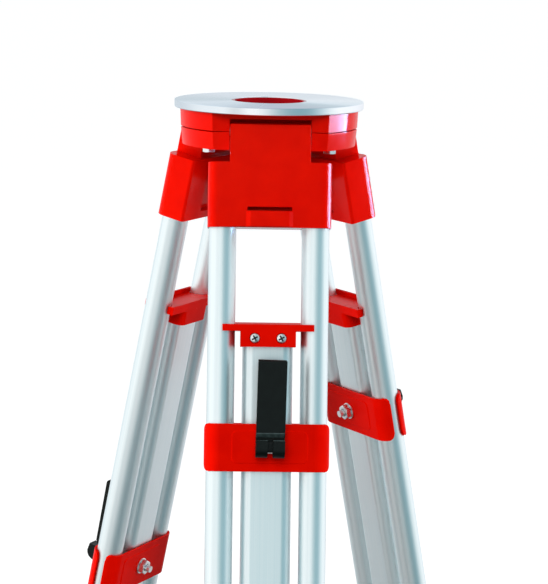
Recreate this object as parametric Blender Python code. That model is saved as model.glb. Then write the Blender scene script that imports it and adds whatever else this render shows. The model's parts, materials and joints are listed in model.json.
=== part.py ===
"""Surveyor's tripod: flat round head, three hinged telescoping legs, cam clamps and pointed feet.

Run with: blender --background --python part.py
Metres, +Z up. The origin is on the ground, under the centre of the object's bounding box.
The front leg points to -Y. The legs stand spread, with their extensions pushed right in.
"""
import math

import bmesh
import bpy
from mathutils import Matrix, Vector

GAP = 0.0003                    # running gap between pieces that touch
CUT_PAST = 0.0010               # how far a cutter or an added part overlaps a face
THROUGH = 0.0500                # a cutter that goes right through reaches at least this far

# ---- Head ----------------------------------------------------------------------------------
HEAD_RADIUS = 0.079             # machined aluminium plate
HEAD_PLATE_THICKNESS = 0.006
HEAD_HOLE_RADIUS = 0.0315
CASTING_RADIUS = 0.075          # the casting is a round disc with three flats
CASTING_FLAT = 0.058            # distance from the head's axis to each flat
CASTING_BOTTOM = 0.0211         # all depths are measured down from the plate's top
CASTING_HOLE_RADIUS = 0.029
COLLAR_TOP = 0.0005
CAP_BOTTOM = 0.0363
CAP_NOSE = 0.044                # where each hinge cap is cut off towards the centre
TONGUE_SLOT_HALF = 0.0332
TONGUE_RECESS_TOP = 0.0109
TONGUE_RECESS_INNER = 0.037

# ---- Leg hinges ----------------------------------------------------------------------------
SPLAY = math.radians(11.84)     # each leg's lean from vertical, as it stands
HINGE_RADIUS = 0.0505
HINGE_DEPTH = 0.0212
PIN_RADIUS = 0.004
PIN_HALF_LENGTH = 0.046
CAP_BOLT_RADIUS = 0.003
CAP_BOLT_REACH = 0.0575         # from the head's axis
CAP_BOLT_TOP = 0.0125
CAP_BOLT_HEAD = 0.0045

# ---- Leg, measured down the leg from its hinge axis ----------------------------------------
SHOULDER = 0.0263
SOCKET_END = 0.0793
SOCKET_HALF_WIDTH = 0.0503
SOCKET_OUTER_FACE = 0.0137      # in front of the leg's centre plane
SOCKET_INNER_FACE = 0.0140
SOCKET_OUTER_CORNER = 0.0085
SOCKET_INNER_CORNER = 0.0025
TONGUE_HALF_WIDTH = 0.0327
TONGUE_INNER_FACE = 0.0093
TONGUE_BARREL_RADIUS = 0.0068   # round the hinge pin
TONGUE_LIP = 0.0037             # the front wall stands up before the barrel, with a groove behind
TONGUE_TOP = 0.0042
TONGUE_GROOVE = 0.0070          # below the hinge axis
TONGUE_OVERLAP = 0.0060         # how far the tongue reaches into the socket
SLOT_TOP = 0.0626
SLOT_HEIGHT = 0.0030
SLOT_HALF_WIDTH = 0.0180
SLOT_DEPTH = 0.0160             # a blind slot in the outer face
PANEL_TOP = 0.0360              # a sunk panel in the inner face
PANEL_END = 0.0730
PANEL_HALF_WIDTH = 0.0230
PANEL_DEPTH = 0.0060
TAB_TOP = 0.0663
TAB_HALF_WIDTH = 0.0206
TAB_HEIGHT = 0.0025

TUBE_RADIUS = 0.0112
TUBE_WALL = 0.0014
TUBE_SPACING = 0.0757           # between the two tubes' axes
TUBE_TOP = 0.0340
TUBE_END = 0.9030
BRACKET_TOP = 0.8850
BRACKET_END = 0.9220

# ---- Extension and what travels with it ----------------------------------------------------
EXTENSION_SET_IN = 0.0025       # its centre lies this far inside the tubes' plane
EXTENSION_HALF_WIDTH = 0.0204
EXTENSION_RADIUS = 0.0085       # half its thickness, and its round edges
EXTENSION_WALL = 0.0015
EXTENSION_TOP = 0.1636
EXTENSION_END = 0.9780
GUIDE_LIP_TOP = 0.1575
GUIDE_BAR_END = 0.1629
GUIDE_END = 0.1757
GUIDE_BAR_HALF_WIDTH = 0.0370
GUIDE_PRONG_HALF_WIDTH = 0.0410
GUIDE_BLOCK_HALF_WIDTH = 0.0224
GUIDE_OUTER_FACE = 0.0136
GUIDE_INNER_FACE = 0.0168
GUIDE_TOP_OUTER = 0.1616        # the top slopes, so that it is level while the leg stands
GUIDE_TOP_INNER = 0.1554
GUIDE_SCREW_SPACING = 0.0216
GUIDE_SCREW_DEPTH = 0.1688
GUIDE_SCREW_RECESS = 0.0044
GUIDE_SCREW_SINK = 0.0020

CLAMP_HEIGHT = 0.0385
CLAMP_SHEET = 0.0021
CLAMP_WRAP = math.radians(16)   # how far short of half way each plate's end stops round a tube
BOLT_OFFSET = 0.0022            # the clamp's bolt stands this far off the leg's centre
BOLT_RADIUS = 0.0030
BOLT_INNER_END = 0.0245
SHANK_OUT = 0.0134              # where the round shank ends and the flat eye begins
EYE_RADIUS = 0.0043
EYE_HALF_THICKNESS = 0.0018
NUT_START = 0.0139
NUT_END = 0.0206
NUT_FLANGE = 0.0016
NUT_HALF_FLATS = 0.0050
NUT_FLANGE_RADIUS = 0.0073

LEVER_PIN_OUT = 0.0250          # the lever's pin, in front of the leg's centre plane
LEVER_PIN_RADIUS = 0.0020
LEVER_HALF_WIDTH = 0.01165
LEVER_SLOT_HALF = 0.0022
LEVER_SLOT_TOP = 0.0086
LEVER_LENGTH = 0.0710
LEVER_LEAN = math.radians(1.2)
CAM_RADIUS = 0.0112             # the cam's high side, pressed on the clamp's outer plate
CAM_LOW = 0.0076

# ---- Foot ----------------------------------------------------------------------------------
FOOT_TOP = 0.9235
FOOT_WALL = 0.0035
FOOT_WAIST_DEPTH = 1.0120
FOOT_WAIST = 0.0122              # its radius there
FOOT_END = 1.0450
FOOT_NOSE = 0.0081
POINT_END = 1.0800
POINT_RADIUS = 0.0078
POINT_TIP_RADIUS = 0.0012
POINT_SHOULDER = 0.0060
POINT_SHANK = 0.0200
POINT_SHANK_RADIUS = 0.0050
STEP_TOP = 1.0000
STEP_THICKNESS = 0.0060
STEP_REACH = 0.0400
STEP_HALF_WIDTH = 0.0150
STEP_CORNER = 0.0040

# ---- Fixing screw under the head -----------------------------------------------------------
ARM_TOP = 0.0218
ARM_THICKNESS = 0.0040
ARM_PIVOT = 0.0355
ARM_PIVOT_END_RADIUS = 0.0075
ARM_HALF_WIDTH = 0.0165
ARM_FRONT = 0.0360
ARM_SLOT_HALF = 0.0103
SCREW_TRAVEL = 0.0150
BUSH_RADIUS = 0.0100
BUSH_FLANGE_RADIUS = 0.0140
BUSH_END = 0.0286
SCREW_RADIUS = 0.0079           # five-eighths inch thread
SCREW_TIP = 0.0080
SCREW_END = 0.0475
KNOB_TOP = 0.0312
KNOB_END = 0.0480
KNOB_RADIUS = 0.0160
KNOB_LOBES = 6
KNOB_LOBE_DEPTH = 0.0018

CLAMP_CENTRE = {"front": 0.2570, "right": 0.2570, "left": 0.4065}
LEG_BEARING = {"front": -90, "right": 30, "left": 150}
CORNER_BEARING = {"right": -30, "rear": 90, "left": 210}

HINGE_HEIGHT = POINT_END * math.cos(SPLAY) + EXTENSION_SET_IN * math.sin(SPLAY)
HEAD_TOP = HINGE_HEIGHT + HINGE_DEPTH
FOOT_REACH = (HINGE_RADIUS + (STEP_TOP + STEP_THICKNESS) * math.sin(SPLAY)
              + STEP_REACH * math.cos(SPLAY))
REAR_REACH = FOOT_REACH * math.sin(math.radians(30)) + STEP_HALF_WIDTH * math.cos(math.radians(30))
HEAD_SET_BACK = (FOOT_REACH - REAR_REACH) / 2

# The rotations below turn a prism made along Z to lie along X or along Y.
ALONG_X = Matrix(((0, 0, 1, 0), (1, 0, 0, 0), (0, 1, 0, 0), (0, 0, 0, 1)))
ALONG_Y = Matrix(((0, 1, 0, 0), (0, 0, 1, 0), (1, 0, 0, 0), (0, 0, 0, 1)))


# ---- Outlines ------------------------------------------------------------------------------
def arc(centre, radius, start, end, steps):
    """Points on an arc, both ends included. Angles are in degrees."""
    points = []
    for step in range(steps + 1):
        angle = math.radians(start + (end - start) * step / steps)
        points.append((centre[0] + radius * math.cos(angle), centre[1] + radius * math.sin(angle)))
    return points


def circle(radius, steps, centre=(0, 0)):
    return arc(centre, radius, 0, 360, steps)[:-1]


def stadium(half_width, radius, steps=6, centre_y=0):
    """A bar with round ends, half_width from its middle to each end."""
    reach = half_width - radius
    right = arc((reach, centre_y), radius, -90, 90, steps)
    left = arc((-reach, centre_y), radius, 90, 270, steps)
    return right + left


def rounded_box(half_width, low, high, low_radius, high_radius, steps=5):
    """A rectangle from -half_width to half_width and low to high, with round corners."""
    low_reach = half_width - low_radius
    high_reach = half_width - high_radius
    return (arc((low_reach, low + low_radius), low_radius, -90, 0, steps)
            + arc((high_reach, high - high_radius), high_radius, 0, 90, steps)
            + arc((-high_reach, high - high_radius), high_radius, 90, 180, steps)
            + arc((-low_reach, low + low_radius), low_radius, 180, 270, steps))


def box_outline(x_low, x_high, y_low, y_high):
    return [(x_low, y_low), (x_high, y_low), (x_high, y_high), (x_low, y_high)]


# ---- Solids --------------------------------------------------------------------------------
def loft(rings):
    """A closed solid through rings of the same number of points, capped at both ends."""
    shape = bmesh.new()
    made = [[shape.verts.new(point) for point in ring] for ring in rings]
    for lower, upper in zip(made, made[1:]):
        for index in range(len(lower)):
            after = (index + 1) % len(lower)
            shape.faces.new((lower[index], lower[after], upper[after], upper[index]))
    shape.faces.new(made[0])
    shape.faces.new(made[-1])
    bmesh.ops.recalc_face_normals(shape, faces=shape.faces)
    return shape


def prism(outline, low, high):
    return loft([[(x, y, level) for x, y in outline] for level in (low, high)])


def pipe(outer, inner, low, high):
    """A hollow bar with open ends, between two outlines of the same number of points."""
    shape = bmesh.new()
    walls = [[shape.verts.new((x, y, level)) for x, y in outline]
             for outline, level in ((outer, low), (outer, high), (inner, high), (inner, low))]
    for wall, following in zip(walls, walls[1:] + walls[:1]):
        for index in range(len(wall)):
            after = (index + 1) % len(wall)
            shape.faces.new((wall[index], wall[after], following[after], following[index]))
    bmesh.ops.recalc_face_normals(shape, faces=shape.faces)
    return shape


def turned(profile, steps):
    """A solid of revolution about Z. The profile's points are (radius, height)."""
    return loft([[(x, y, height) for x, y in circle(radius, steps)] for radius, height in profile])


def move(shape, matrix):
    bmesh.ops.transform(shape, matrix=matrix, verts=shape.verts)
    return shape


# ---- Objects -------------------------------------------------------------------------------
def clear_scene():
    for thing in list(bpy.data.objects):
        bpy.data.objects.remove(thing, do_unlink=True)


def make_material(name, colour, roughness, metallic):
    material = bpy.data.materials.new(name)
    material.use_nodes = True
    shader = material.node_tree.nodes["Principled BSDF"]
    shader.inputs["Base Color"].default_value = (*colour, 1)
    shader.inputs["Roughness"].default_value = roughness
    shader.inputs["Metallic"].default_value = metallic
    return material


def add_frame(name, matrix, parent=None):
    """An empty that carries the pieces of one moving group."""
    frame = bpy.data.objects.new(name, None)
    bpy.context.collection.objects.link(frame)
    frame.parent = parent
    frame.matrix_local = matrix
    return frame


def add_piece(name, shape, material, frame, smooth=True):
    mesh = bpy.data.meshes.new(name)
    shape.to_mesh(mesh)
    shape.free()
    if smooth:
        mesh.shade_smooth()
        mesh.set_sharp_from_angle(angle=math.radians(35))
    mesh.materials.append(material)
    piece = bpy.data.objects.new(name, mesh)
    bpy.context.collection.objects.link(piece)
    piece.parent = frame
    return piece


def combine(piece, shape, operation):
    """Adds or cuts a second solid, given in the same frame as the piece."""
    mesh = bpy.data.meshes.new("tool")
    shape.to_mesh(mesh)
    shape.free()
    tool = bpy.data.objects.new(piece.name + "_tool", mesh)
    bpy.context.collection.objects.link(tool)
    tool.parent = piece.parent
    tool.hide_render = True
    tool.display_type = "WIRE"
    modifier = piece.modifiers.new(operation.lower(), "BOOLEAN")
    modifier.operation = operation
    modifier.solver = "EXACT"
    modifier.object = tool


def cut(piece, shape):
    combine(piece, shape, "DIFFERENCE")


def join(piece, shape):
    combine(piece, shape, "UNION")


# ---- Head ----------------------------------------------------------------------------------
def head_outline():
    """Three flats joined by three arcs, going round from the right end of the front flat."""
    flat_half = math.sqrt(CASTING_RADIUS ** 2 - CASTING_FLAT ** 2)
    edge = math.degrees(math.atan2(flat_half, CASTING_FLAT))
    points = []
    for bearing in (-90, 30, 150):
        points += arc((0, 0), CASTING_RADIUS, bearing + edge, bearing + 120 - edge, 6)
    return points


def corner_outline():
    """One hinge cap, with its middle on +X: two slot walls, two flats and an arc."""
    side = math.radians(60)
    flat_half = math.sqrt(CASTING_RADIUS ** 2 - CASTING_FLAT ** 2)
    nose_run = (CAP_NOSE - TONGUE_SLOT_HALF * math.sin(side)) / math.cos(side)
    lower = []
    for outward, across in ((nose_run, TONGUE_SLOT_HALF), (CASTING_FLAT, TONGUE_SLOT_HALF)):
        lower.append((outward * math.cos(side) + across * math.sin(side),
                      across * math.cos(side) - outward * math.sin(side)))
    edge = 60 - math.degrees(math.atan2(flat_half, CASTING_FLAT))
    rim = arc((0, 0), CASTING_RADIUS, -edge, edge, 6)
    return lower + rim + [(x, -y) for x, y in reversed(lower)]


def pin_frame(bearing):
    """The hinge axis of one leg in the head's frame: x along the pin, y inwards."""
    turn = Matrix.Rotation(math.radians(bearing + 90), 4, "Z")
    return turn @ Matrix.Translation((0, -HINGE_RADIUS, -HINGE_DEPTH))


def pin_shape(radius, half_length, steps=12):
    return move(prism(circle(radius, steps), -half_length, half_length), ALONG_X)


def build_head(head, paint, aluminium, zinc):
    plate = pipe(circle(HEAD_RADIUS, 60), circle(HEAD_HOLE_RADIUS, 60), -HEAD_PLATE_THICKNESS, 0)
    add_piece("head_plate", plate, aluminium, head)

    casting = add_piece("head_casting", prism(head_outline(), -CASTING_BOTTOM + GAP / 2,
                                              -HEAD_PLATE_THICKNESS - GAP), paint, head)
    join(casting, prism(circle(HEAD_HOLE_RADIUS - GAP, 40), -HEAD_PLATE_THICKNESS * 2, -COLLAR_TOP))
    cut(casting, prism(circle(CASTING_HOLE_RADIUS, 40), -THROUGH, CUT_PAST))
    for bearing in LEG_BEARING.values():
        turn = Matrix.Rotation(math.radians(bearing + 90), 4, "Z")
        recess = prism(box_outline(-TONGUE_SLOT_HALF, TONGUE_SLOT_HALF, -CASTING_RADIUS,
                                   -TONGUE_RECESS_INNER), -CASTING_BOTTOM - CUT_PAST, -TONGUE_RECESS_TOP)
        cut(casting, move(recess, turn))
        cut(casting, move(pin_shape(PIN_RADIUS + GAP, PIN_HALF_LENGTH + GAP), pin_frame(bearing)))
    for name, bearing in CORNER_BEARING.items():
        build_hinge_cap(name, bearing, head, paint, zinc)
        hole = prism(circle(CAP_BOLT_RADIUS + GAP, 12, (CAP_BOLT_REACH, 0)), -THROUGH,
                     -CAP_BOLT_TOP + GAP)
        cut(casting, move(hole, Matrix.Rotation(math.radians(bearing), 4, "Z")))
    pivot_hole = prism(circle(CAP_BOLT_RADIUS + GAP, 12, (0, ARM_PIVOT)), -THROUGH, -CAP_BOLT_TOP + GAP)
    cut(casting, pivot_hole)


def build_hinge_cap(name, bearing, head, paint, zinc):
    """A cap that holds the ends of two hinge pins up against the casting, and its bolt."""
    turn = Matrix.Rotation(math.radians(bearing), 4, "Z")
    cap = add_piece(name + "_hinge_cap",
                    move(prism(corner_outline(), -CAP_BOTTOM, -CASTING_BOTTOM - GAP / 2), turn),
                    paint, head)
    for side in (-60, 60):
        cut(cap, move(pin_shape(PIN_RADIUS + GAP, PIN_HALF_LENGTH + GAP), pin_frame(bearing + side)))
    middle = (CAP_BOLT_REACH, 0)
    cut(cap, move(prism(circle(CAP_BOLT_RADIUS + GAP, 12, middle), -THROUGH, 0), turn))
    add_hex_bolt(name + "_cap_bolt", head, zinc, -CAP_BOTTOM - GAP, turn @ Vector((*middle, 0)))


def add_hex_bolt(name, head, zinc, under_head, place):
    """A bolt that points up from below, with its hexagon's upper face at under_head."""
    corner_radius = NUT_HALF_FLATS / math.cos(math.pi / 6)
    place = Matrix.Translation(place)
    bolt = add_piece(name, move(prism(circle(corner_radius, 6), under_head - CAP_BOLT_HEAD, under_head),
                                place), zinc, head)
    join(bolt, move(prism(circle(CAP_BOLT_RADIUS, 12), under_head - CAP_BOLT_HEAD / 2, -CAP_BOLT_TOP),
                    place))


# ---- Fixing screw --------------------------------------------------------------------------
def build_fixing_screw(head, black, steel, zinc):
    """An arm that swings under the head, and the screw that slides along its slot."""
    add_hex_bolt("arm_pivot_bolt", head, zinc, -ARM_TOP - ARM_THICKNESS - GAP, (0, ARM_PIVOT, 0))

    arm_frame = add_frame("arm_pivot", Matrix.Translation((0, ARM_PIVOT, 0)), head)
    far_end = -ARM_PIVOT - ARM_FRONT
    corner = ARM_HALF_WIDTH / 2
    outline = (arc((0, 0), ARM_PIVOT_END_RADIUS, 0, 180, 10)
               + [(-ARM_HALF_WIDTH, -ARM_PIVOT_END_RADIUS)]
               + arc((-corner, far_end + corner), corner, 180, 270, 5)
               + arc((corner, far_end + corner), corner, 270, 360, 5)
               + [(ARM_HALF_WIDTH, -ARM_PIVOT_END_RADIUS)])
    arm = add_piece("screw_arm", prism(outline, -ARM_TOP - ARM_THICKNESS, -ARM_TOP), steel, arm_frame)
    slot = stadium(SCREW_TRAVEL + ARM_SLOT_HALF, ARM_SLOT_HALF, 10)
    cut(arm, prism([(y, x - ARM_PIVOT) for x, y in reversed(slot)], -THROUGH, 0))
    cut(arm, prism(circle(CAP_BOLT_RADIUS + GAP, 12), -THROUGH, 0))

    slide_frame = add_frame("screw_slide", Matrix.Translation((0, -ARM_PIVOT, 0)), arm_frame)
    under_arm = ARM_TOP + ARM_THICKNESS + GAP
    bore = SCREW_RADIUS + GAP
    bush = turned([(BUSH_FLANGE_RADIUS, -BUSH_END), (BUSH_FLANGE_RADIUS, -under_arm),
                   (BUSH_RADIUS, -under_arm), (BUSH_RADIUS, -ARM_TOP)], 20)
    bush = add_piece("screw_bush", bush, black, slide_frame)
    cut(bush, prism(circle(bore, 20), -THROUGH, 0))

    screw_frame = add_frame("screw_spin", Matrix.Identity(4), slide_frame)
    collar = SCREW_RADIUS + 4 * GAP
    screw = turned([(SCREW_RADIUS - GAP * 4, -SCREW_END), (SCREW_RADIUS, -SCREW_END + GAP * 4),
                    (SCREW_RADIUS, -KNOB_TOP + GAP), (collar, -KNOB_TOP + GAP),
                    (collar, -BUSH_END - GAP), (SCREW_RADIUS, -BUSH_END - GAP),
                    (SCREW_RADIUS, -SCREW_TIP - GAP * 5),
                    (SCREW_RADIUS - GAP * 5, -SCREW_TIP)], 18)
    add_piece("fixing_screw", screw, steel, screw_frame)
    lobes = [((KNOB_RADIUS + KNOB_LOBE_DEPTH * math.cos(KNOB_LOBES * turn)) * math.cos(turn),
              (KNOB_RADIUS + KNOB_LOBE_DEPTH * math.cos(KNOB_LOBES * turn)) * math.sin(turn))
             for turn in (math.tau * step / 36 for step in range(36))]
    knob = add_piece("screw_knob", prism(lobes, -KNOB_END, -KNOB_TOP), black, screw_frame)
    cut(knob, prism(circle(bore, 20), -THROUGH, 0))


# ---- Upper leg -----------------------------------------------------------------------------
def tongue_outline():
    """The tongue from the side: (y inwards, z up), with a barrel round the hinge pin."""
    root = -SHOULDER - TONGUE_OVERLAP
    barrel = arc((0, 0), TONGUE_BARREL_RADIUS, -20, 200, 12)
    lip_back = TONGUE_LIP - SOCKET_OUTER_FACE
    return ([(-SOCKET_OUTER_FACE, root), (TONGUE_INNER_FACE, root), (TONGUE_INNER_FACE, -TONGUE_GROOVE)]
            + barrel
            + [(-TONGUE_BARREL_RADIUS, -TONGUE_GROOVE), (lip_back, -TONGUE_GROOVE),
               (lip_back, TONGUE_TOP), (-SOCKET_OUTER_FACE, TONGUE_TOP)])


def build_socket(name, leg, paint):
    outline = rounded_box(SOCKET_HALF_WIDTH, -SOCKET_OUTER_FACE, SOCKET_INNER_FACE,
                          SOCKET_OUTER_CORNER, SOCKET_INNER_CORNER)
    socket = add_piece(name, prism(outline, -SOCKET_END, -SHOULDER), paint, leg)
    join(socket, move(prism(tongue_outline(), -TONGUE_HALF_WIDTH, TONGUE_HALF_WIDTH), ALONG_X))
    tab_face = -SOCKET_OUTER_FACE - TAB_HEIGHT
    tab_root = -SOCKET_OUTER_FACE + CUT_PAST
    tab_top_half = TAB_HALF_WIDTH - 2 * TAB_HEIGHT
    tab = [(-TAB_HALF_WIDTH, tab_root), (-tab_top_half, tab_face), (tab_top_half, tab_face),
           (TAB_HALF_WIDTH, tab_root)]
    join(socket, prism(tab, -SOCKET_END + GAP * 2, -TAB_TOP))
    panel = rounded_box(PANEL_HALF_WIDTH, SOCKET_INNER_FACE - PANEL_DEPTH, SOCKET_INNER_FACE + CUT_PAST,
                        CUT_PAST, CUT_PAST / 2, 2)
    cut(socket, prism(panel, -PANEL_END, -PANEL_TOP))
    slot = box_outline(-SLOT_HALF_WIDTH, SLOT_HALF_WIDTH, -SOCKET_OUTER_FACE - CUT_PAST,
                       -SOCKET_OUTER_FACE + SLOT_DEPTH)
    cut(socket, prism(slot, -SLOT_TOP - SLOT_HEIGHT, -SLOT_TOP))
    for side in (-1, 1):
        bore = circle(TUBE_RADIUS + GAP, 20, (side * TUBE_SPACING / 2, 0))
        cut(socket, prism(bore, -SOCKET_END - CUT_PAST, -TUBE_TOP + GAP))
    cut(socket, pin_shape(PIN_RADIUS + GAP, SOCKET_HALF_WIDTH))


def build_upper_leg(name, leg, paint, aluminium):
    build_socket(name + "_socket", leg, paint)
    for number, side in ((1, -1), (2, 1)):
        middle = (side * TUBE_SPACING / 2, 0)
        tube = pipe(circle(TUBE_RADIUS, 20, middle), circle(TUBE_RADIUS - TUBE_WALL, 20, middle),
                    -TUBE_END, -TUBE_TOP)
        add_piece(f"{name}_tube_{number}", tube, aluminium, leg)

    bracket = add_piece(name + "_tie_bracket",
                        prism(stadium(SOCKET_HALF_WIDTH, SOCKET_OUTER_FACE), -BRACKET_END,
                              -BRACKET_TOP), paint, leg)
    for side in (-1, 1):
        bore = circle(TUBE_RADIUS + GAP, 20, (side * TUBE_SPACING / 2, 0))
        cut(bracket, prism(bore, -TUBE_END - GAP, -BRACKET_TOP + CUT_PAST))
    passage = stadium(EXTENSION_HALF_WIDTH + GAP, EXTENSION_RADIUS + GAP, 6, EXTENSION_SET_IN)
    cut(bracket, prism(passage, -BRACKET_END - CUT_PAST, -BRACKET_TOP + CUT_PAST))


# ---- Extension, guide cap and foot ---------------------------------------------------------
def build_extension(name, slide, centre, aluminium):
    outer = stadium(EXTENSION_HALF_WIDTH, EXTENSION_RADIUS, 6, EXTENSION_SET_IN)
    inner = stadium(EXTENSION_HALF_WIDTH - EXTENSION_WALL, EXTENSION_RADIUS - EXTENSION_WALL, 6,
                    EXTENSION_SET_IN)
    bar = add_piece(name, pipe(outer, inner, -EXTENSION_END, -EXTENSION_TOP), aluminium, slide)
    cut(bar, bolt_hole(centre))


def bolt_hole(centre, radius=BOLT_RADIUS + GAP, half_length=THROUGH, steps=12):
    """A round cutter through the clamp, along y."""
    shape = move(prism(circle(radius, steps), -half_length, half_length), ALONG_Y)
    return move(shape, Matrix.Translation((BOLT_OFFSET, 0, -centre)))


def guide_plate_outline():
    """The guide's plate from above, notched round the two tubes."""
    notch = TUBE_RADIUS + 2 * GAP
    reach = TUBE_SPACING / 2
    outer_edge = math.degrees(math.acos((GUIDE_BAR_HALF_WIDTH - reach) / notch))
    inner_edge = math.degrees(math.acos((GUIDE_PRONG_HALF_WIDTH - reach) / notch))
    right = arc((reach, 0), notch, -outer_edge, -360 + inner_edge, 10)
    left = [(-x, y) for x, y in reversed(right)]
    return ([(GUIDE_BAR_HALF_WIDTH, -GUIDE_OUTER_FACE)] + right
            + [(GUIDE_PRONG_HALF_WIDTH, GUIDE_INNER_FACE), (-GUIDE_PRONG_HALF_WIDTH, GUIDE_INNER_FACE)]
            + left + [(-GUIDE_BAR_HALF_WIDTH, -GUIDE_OUTER_FACE)])


def build_guide_cap(name, slide, paint):
    """The extension's top guide: a sleeve, a sloping notched plate and a lip at the front."""
    plate = guide_plate_outline()
    slope = (GUIDE_TOP_OUTER - GUIDE_TOP_INNER) / (GUIDE_INNER_FACE + GUIDE_OUTER_FACE)
    top = [(x, y, -GUIDE_TOP_OUTER + slope * (y + GUIDE_OUTER_FACE)) for x, y in plate]
    bottom = [(x, y, -GUIDE_BAR_END) for x, y in plate]
    cap = add_piece(name, loft([bottom, top]), paint, slide)
    corner = (GUIDE_INNER_FACE - EXTENSION_SET_IN) / 2
    block = (arc((GUIDE_BLOCK_HALF_WIDTH - corner, GUIDE_INNER_FACE - corner), corner, 0, 90, 4)
             + arc((corner - GUIDE_BLOCK_HALF_WIDTH, GUIDE_INNER_FACE - corner), corner, 90, 180, 4)
             + [(-GUIDE_BLOCK_HALF_WIDTH, -GUIDE_OUTER_FACE), (GUIDE_BLOCK_HALF_WIDTH, -GUIDE_OUTER_FACE)])
    join(cap, prism(block, -GUIDE_END, -GUIDE_BAR_END + CUT_PAST / 2))
    lip_back = -TUBE_RADIUS - 2 * GAP
    lip = box_outline(-GUIDE_BAR_HALF_WIDTH, GUIDE_BAR_HALF_WIDTH, -GUIDE_OUTER_FACE, lip_back)
    join(cap, prism(lip, -GUIDE_BAR_END, -GUIDE_LIP_TOP))
    pocket = stadium(EXTENSION_HALF_WIDTH + GAP, EXTENSION_RADIUS + GAP, 6, EXTENSION_SET_IN)
    cut(cap, prism(pocket, -GUIDE_END - CUT_PAST, -EXTENSION_TOP + GAP))
    for side in (-1, 1):
        recess = move(prism(circle(GUIDE_SCREW_RECESS, 12), -GUIDE_OUTER_FACE - CUT_PAST,
                            -GUIDE_OUTER_FACE + GUIDE_SCREW_SINK), ALONG_Y)
        cut(cap, move(recess, Matrix.Translation((side * GUIDE_SCREW_SPACING / 2, 0,
                                                  -GUIDE_SCREW_DEPTH))))


def build_foot(name, slide, paint, steel):
    """The foot's casting, with a socket for the extension, a step to tread on and a steel point."""
    top = stadium(EXTENSION_HALF_WIDTH + FOOT_WALL, EXTENSION_RADIUS + FOOT_WALL, 6)
    waist = stadium(FOOT_WAIST + GAP, FOOT_WAIST, 6)
    nose = stadium(FOOT_NOSE + GAP, FOOT_NOSE, 6)
    levels = [(top, -FOOT_TOP), (top, -EXTENSION_END - FOOT_WALL), (waist, -FOOT_WAIST_DEPTH),
              (nose, -FOOT_END)]
    rings = [[(x, y + EXTENSION_SET_IN, level) for x, y in outline] for outline, level in levels]
    foot = add_piece(name + "_foot", loft(rings), paint, slide)
    step = rounded_box(STEP_HALF_WIDTH, -STEP_REACH, 0, STEP_CORNER, CUT_PAST, 4)
    join(foot, prism(step, -STEP_TOP - STEP_THICKNESS, -STEP_TOP))
    pocket = stadium(EXTENSION_HALF_WIDTH + GAP, EXTENSION_RADIUS + GAP, 6, EXTENSION_SET_IN)
    cut(foot, prism(pocket, -EXTENSION_END - GAP, -FOOT_TOP + CUT_PAST))
    bore = circle(POINT_SHANK_RADIUS + GAP, 12, (0, EXTENSION_SET_IN))
    cut(foot, prism(bore, -FOOT_END - CUT_PAST, -FOOT_END + POINT_SHANK + GAP))
    profile = [(POINT_TIP_RADIUS, -POINT_END), (POINT_RADIUS, -FOOT_END - POINT_SHOULDER),
               (POINT_RADIUS, -FOOT_END - GAP), (POINT_SHANK_RADIUS, -FOOT_END - GAP),
               (POINT_SHANK_RADIUS, -FOOT_END + POINT_SHANK)]
    point = move(turned(profile, 16), Matrix.Translation((0, EXTENSION_SET_IN, 0)))
    add_piece(name + "_foot_point", point, steel, slide)


# ---- Clamp ---------------------------------------------------------------------------------
def clamp_outline(side):
    """One clamp plate from above: flat, with ends that curl round the tubes. side is -1 outside."""
    reach = TUBE_SPACING / 2
    near = TUBE_RADIUS + GAP
    far = near + CLAMP_SHEET
    stop = math.degrees(CLAMP_WRAP)
    outside = arc((reach, 0), far, stop, 90, 6) + arc((-reach, 0), far, 90, 180 - stop, 6)
    inside = arc((-reach, 0), near, 180 - stop, 90, 6) + arc((reach, 0), near, 90, stop, 6)
    return [(x, side * y) for x, y in outside + inside]


def build_clamp(name, slide, centre, paint, zinc):
    low = -centre - CLAMP_HEIGHT / 2
    high = -centre + CLAMP_HEIGHT / 2
    for place, side in (("outer", -1), ("inner", 1)):
        plate = add_piece(f"{name}_clamp_{place}_plate", prism(clamp_outline(side), low, high), paint,
                          slide)
        cut(plate, bolt_hole(centre))

    at_bolt = Matrix.Translation((BOLT_OFFSET, 0, -centre))
    shank = move(prism(circle(BOLT_RADIUS, 12), -SHANK_OUT, BOLT_INNER_END), ALONG_Y)
    bolt = add_piece(name + "_clamp_bolt", move(shank, at_bolt), zinc, slide)
    neck = BOLT_RADIUS - 2 * GAP
    open_angle = math.degrees(math.asin(neck / EYE_RADIUS))
    root = -SHANK_OUT + 2 * CUT_PAST
    eye = (arc((-LEVER_PIN_OUT, 0), EYE_RADIUS, open_angle, 360 - open_angle, 12)
           + [(root, -neck), (root, neck)])
    eye = prism([(y, z) for y, z in eye], -EYE_HALF_THICKNESS, EYE_HALF_THICKNESS)
    join(bolt, move(move(eye, ALONG_X), at_bolt))
    at_pin = at_bolt @ Matrix.Translation((0, -LEVER_PIN_OUT, 0))
    cut(bolt, move(pin_shape(LEVER_PIN_RADIUS + GAP, LEVER_HALF_WIDTH), at_pin))

    corner_radius = NUT_HALF_FLATS / math.cos(math.pi / 6)
    flange = move(prism(circle(NUT_FLANGE_RADIUS, 18), NUT_START, NUT_START + NUT_FLANGE), ALONG_Y)
    nut = add_piece(name + "_clamp_nut", move(flange, at_bolt), zinc, slide)
    hexagon = move(prism(circle(corner_radius, 6), NUT_START + NUT_FLANGE / 2, NUT_END), ALONG_Y)
    join(nut, move(hexagon, at_bolt))
    cut(nut, bolt_hole(centre))


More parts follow.
